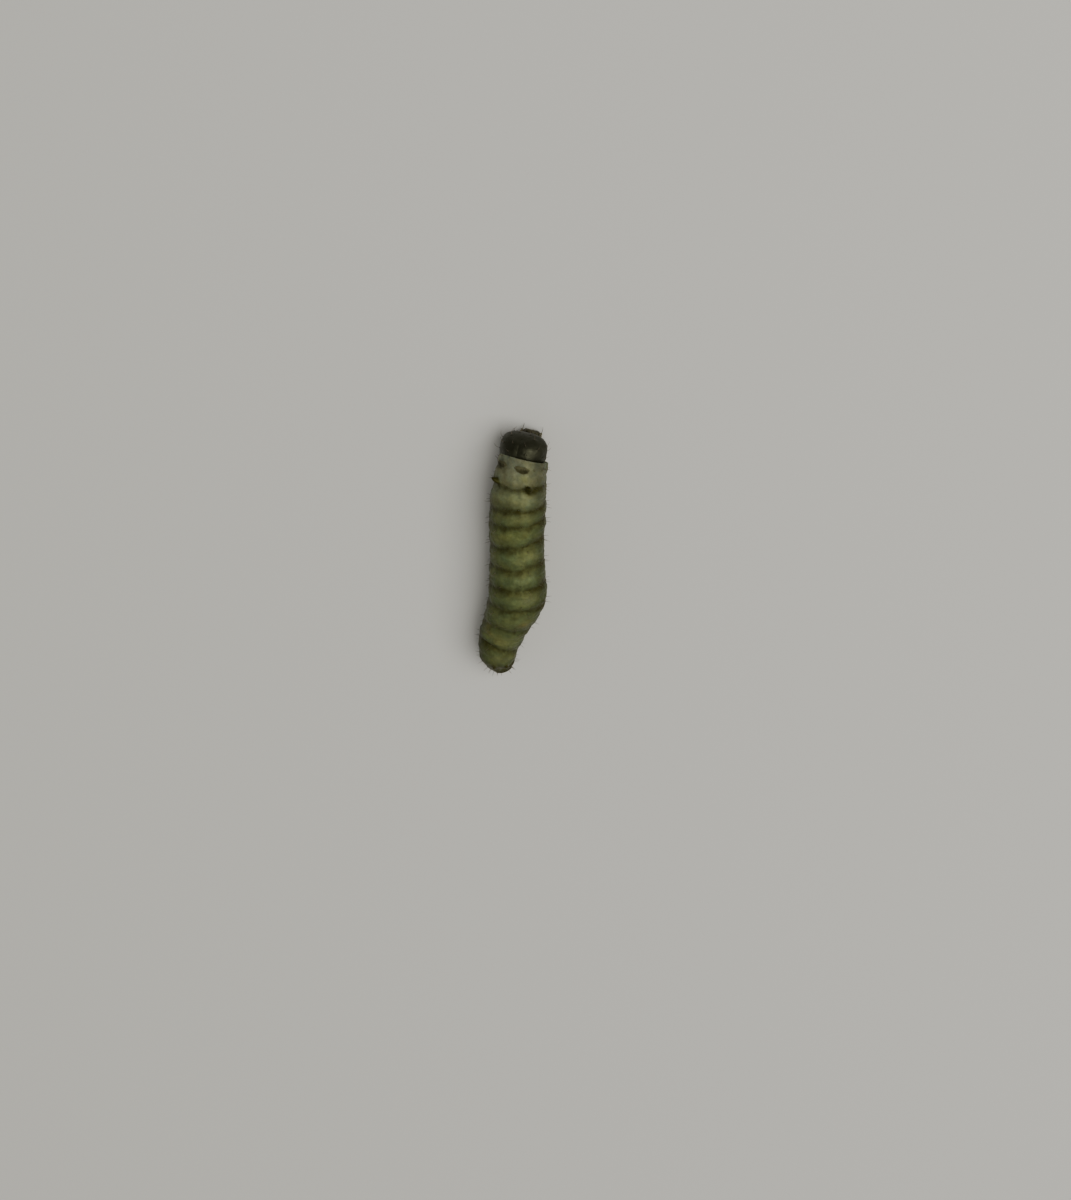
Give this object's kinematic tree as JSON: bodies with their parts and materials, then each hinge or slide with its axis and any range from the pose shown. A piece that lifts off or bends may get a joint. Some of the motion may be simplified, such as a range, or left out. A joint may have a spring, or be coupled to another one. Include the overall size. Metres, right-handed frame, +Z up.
{
  "type": "monarch butterfly larva, first instar",
  "caption": "Life-size still model of a young monarch larva: glossy black head, banded translucent body, walking legs and prolegs.",
  "frame": {"origin": "middle of the larva's box in plan, on the floor that its feet stand on", "axes": "+Z up; the head points along -Y and the tail along +Y; +X is the larva's left"},
  "size_m": [0.0008, 0.0032, 0.0008],
  "materials": {
    "skin": "thin, moist, slightly translucent grey-olive skin with dark transverse bands",
    "capsule": "smooth glossy black-brown chitin",
    "plate": "dark brown chitin, satin",
    "leg": "dark brown chitin, paler at the joints",
    "lens": "clear dark lenses"
  },
  "bodies": {
    "root": {"head": "capsule", "labrum": "capsule", "labium": "plate", "mandible_left": "plate", "mandible_right": "plate", "stemmata_left": "lens", "stemmata_right": "lens", "antenna_left": "skin", "antenna_right": "skin", "thorax_1": "skin", "thorax_2": "skin", "thorax_3": "skin", "abdomen_1": "skin", "abdomen_2": "skin", "abdomen_3": "skin", "abdomen_4": "skin", "abdomen_5": "skin", "abdomen_6": "skin", "abdomen_7": "skin", "abdomen_8": "skin", "abdomen_9": "skin", "abdomen_10": "skin", "leg_1_left": "leg", "leg_1_right": "leg", "leg_2_left": "leg", "leg_2_right": "leg", "leg_3_left": "leg", "leg_3_right": "leg", "proleg_3_left": "skin", "proleg_3_right": "skin", "proleg_4_left": "skin", "proleg_4_right": "skin", "proleg_5_left": "skin", "proleg_5_right": "skin", "proleg_6_left": "skin", "proleg_6_right": "skin", "proleg_10_left": "skin", "proleg_10_right": "skin", "front_filament_left": "skin", "front_filament_right": "skin", "rear_filament_left": "skin", "rear_filament_right": "skin", "neck_plate_left": "plate", "neck_plate_right": "plate", "anal_plate": "plate"}
  },
  "joints": []
}
